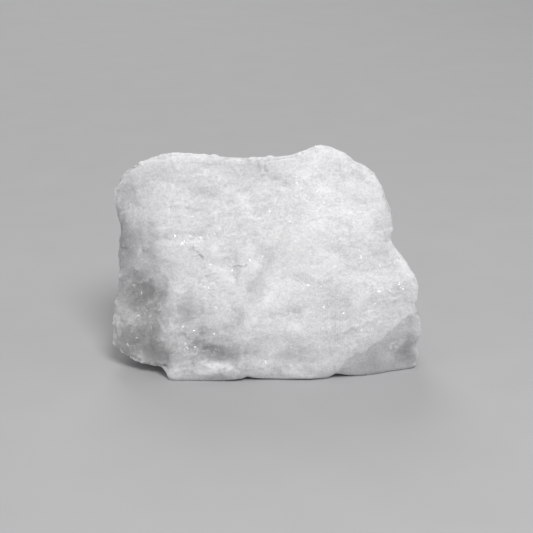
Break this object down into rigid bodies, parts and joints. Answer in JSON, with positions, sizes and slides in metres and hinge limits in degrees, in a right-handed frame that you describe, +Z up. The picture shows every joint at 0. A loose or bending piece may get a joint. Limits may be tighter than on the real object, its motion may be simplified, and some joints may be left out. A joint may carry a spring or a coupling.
{
  "type": "rough cryolite",
  "caption": "Rough lump of white, translucent massive cryolite with a broad broken face, stepped parting ledges and a small flat spot to rest on.",
  "frame": {"origin": "on the surface the lump stands on, under the middle of its bounding box", "axes": "+X across the broad face to its right, +Y towards the back of the lump, +Z up; the broad face leans back and looks along -Y"},
  "size_m": [0.0474, 0.0274, 0.0333],
  "materials": {
    "massive_cryolite": "milky, translucent, greasy to glassy lustre on broken grains"
  },
  "bodies": {
    "root": {"cryolite_lump": "massive_cryolite"}
  },
  "joints": []
}
